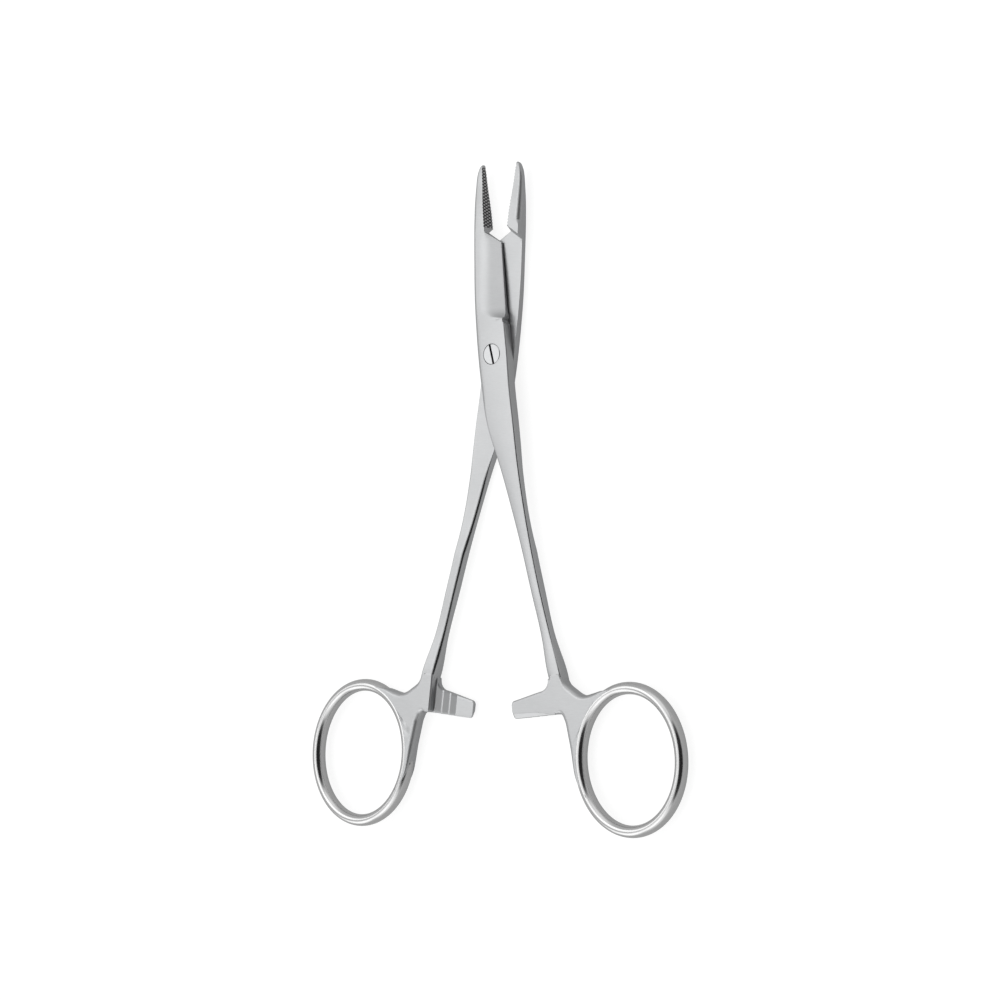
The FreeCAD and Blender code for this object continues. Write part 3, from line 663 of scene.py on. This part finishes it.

# Screw: fine turned finish, with painted shade in the slot that fades out above and below it
turned = steel("turned_screw_steel", ("#B2B3B4", "#C4C5C6"), 0.3, 0.25, 0.06)
tree = turned.node_tree
shader = tree.nodes["Principled BSDF"]
place = node(tree, "ShaderNodeTexCoord").outputs["Object"]
height = node(tree, "ShaderNodeSeparateXYZ", Vector=place).outputs["Z"]
above, below = (
    node(tree, "ShaderNodeMapRange", {"From Min": start * MM, "From Max": end * MM},
         Value=height).outputs[0] for start, end in (HEAD_FADE, SHAFT_FADE))
# Painted shade: between these heights the slot's floor and walls go dark towards #1C1C1D, and the steel
# keeps its colour elsewhere
outside_slot_shade = maths(tree, "MAXIMUM", above, below)
tree.links.new(mixed(tree, outside_slot_shade, "#1C1C1D", fed(shader, "Base Color")), shader.inputs["Base Color"])
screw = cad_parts["joint_screw"]
screw.data.materials.clear()
screw.data.materials.append(turned)

# Floor, light and camera
# White paper ground, one large soft box high on the left, a grey room with bright reflectors round it,
# and the photograph's viewpoint.

FLOOR_HALF = 3
FLOOR_LEVEL = -0.00002
FLOOR_SEEN = 0.86
FLOOR_MIRRORED = 0.33


def seen_directly(tree, rays):
    """One for rays that come from the camera, straight or through something clear, and else zero."""
    return maths(tree, "MAXIMUM", rays["Is Camera Ray"], rays["Is Transmission Ray"])


floor_mesh = bpy.data.meshes.new("floor")
floor_mesh.from_pydata([(x * FLOOR_HALF, y * FLOOR_HALF, FLOOR_LEVEL)
                        for x, y in ((-1, -1), (1, -1), (1, 1), (-1, 1))], [], [(0, 1, 2, 3)])
floor = bpy.data.objects.new("floor", floor_mesh)
bpy.context.scene.collection.objects.link(floor)
# Paper: matt, and lit from behind so that it looks white, less so in the steel's reflections
paper = bpy.data.materials.new("white_paper")
paper.use_nodes = True
tree = paper.node_tree
tree.nodes.clear()
rays = node(tree, "ShaderNodeLightPath").outputs
seen = maths(tree, "MULTIPLY", seen_directly(tree, rays), FLOOR_SEEN)
mirrored = maths(tree, "MULTIPLY", rays["Is Glossy Ray"], FLOOR_MIRRORED)
glow = node(tree, "ShaderNodeEmission", {"Color": (1, 1, 1, 1)},
            Strength=maths(tree, "ADD", seen, mirrored))
matt = node(tree, "ShaderNodeBsdfDiffuse", {"Color": linear("#8C8C8C")})
both = node(tree, "ShaderNodeAddShader")
tree.links.new(matt.outputs[0], both.inputs[0])
tree.links.new(glow.outputs[0], both.inputs[1])
node(tree, "ShaderNodeOutputMaterial", Surface=both.outputs[0])
floor_mesh.materials.append(paper)

# The room: plain grey, brighter overhead and where reflectors stand, dark behind the photographer.
# A reflector has its direction, the angles where it is full and where it ends, and its brightness.
ROOM_GREY = 0.62
OVERHEAD = 1.25
DARK = 0.03
REFLECTORS = (
    ((-0.26, -0.55, 0.80), 8, 26, 0.9),
    ((-0.26, 0.44, 0.86), 6, 22, 0.5),
    ((0.10, -0.78, 0.62), 8, 28, 0.6),
    ((0.12, 0.76, 0.64), 8, 26, 0.5),
    ((-0.62, -0.68, 0.38), 8, 24, 1.1),
)
world = bpy.data.worlds.new("studio")
bpy.context.scene.world = world
world.use_nodes = True
tree = world.node_tree
towards = node(tree, "ShaderNodeTexCoord").outputs["Object"]


def patch(direction, inner, outer, low, high):
    """Smooth round patch of the room.

    It is high within the inner angle of its direction and low past the outer one.
    """
    facing = node(tree, "ShaderNodeVectorMath", {"operation": "DOT_PRODUCT"})
    tree.links.new(towards, facing.inputs[0])
    facing.inputs[1].default_value = Vector(direction).normalized()
    spread = {"interpolation_type": "SMOOTHSTEP", "From Min": math.cos(math.radians(outer)),
              "From Max": math.cos(math.radians(inner)), "To Min": low, "To Max": high}
    return node(tree, "ShaderNodeMapRange", spread, Value=facing.outputs["Value"]).outputs[0]


room = patch((-0.09, 0.05, 1.0), 8, 26, ROOM_GREY, OVERHEAD)
for direction, inner, outer, high in REFLECTORS:
    room = maths(tree, "ADD", room, patch(direction, inner, outer, 0.0, high))
room = maths(tree, "MULTIPLY", room, patch((0.72, 0.0, 0.69), 30, 42, 1.0, DARK))
rays = node(tree, "ShaderNodeLightPath").outputs
white = node(tree, "ShaderNodeMix", {"data_type": "FLOAT"}, Factor=seen_directly(tree, rays))
tree.links.new(room, white.inputs[2])
white.inputs[3].default_value = 1.0
tree.links.new(white.outputs[0], tree.nodes["Background"].inputs["Strength"])
tree.nodes["Background"].inputs["Color"].default_value = (1, 1, 1, 1)

# The soft box
lamp = bpy.data.lights.new("soft_box", "AREA")
lamp.shape = "RECTANGLE"
lamp.size, lamp.size_y = 0.56, 0.5
lamp.energy = 0.95
soft_box = bpy.data.objects.new("soft_box", lamp)
soft_box.location = (-0.515, 0.14, 0.763)
aim = Vector((0, -0.02, 0)) - soft_box.location
soft_box.rotation_euler = aim.to_track_quat("-Z", "Y").to_euler()
bpy.context.scene.collection.objects.link(soft_box)

# The camera: found from the two finger rings and the pivot in the photograph
YAW, PITCH, ROLL = (math.radians(a) for a in (38.292, -2.985, 1.375))
DISTANCE = 0.7059
SHIFT = (-0.000344, 0.029546)
HALF_VIEW = 0.1019
turn = Matrix.Rotation(-YAW, 3, "Y") @ Matrix.Rotation(PITCH, 3, "X") @ Matrix.Rotation(ROLL, 3, "Z")
inverse = turn.transposed()
eye = inverse @ Vector((-SHIFT[0], -SHIFT[1], DISTANCE)) + Vector((0, 0, MIDDLE_HEIGHT * MM))
lens = bpy.data.cameras.new("camera")
lens.angle = 2 * math.atan(HALF_VIEW / DISTANCE)
camera = bpy.data.objects.new("camera", lens)
camera.matrix_world = Matrix.Translation(eye) @ inverse.to_4x4()
bpy.context.scene.collection.objects.link(camera)
bpy.context.scene.camera = camera
bpy.context.scene.view_settings.view_transform = "Standard"
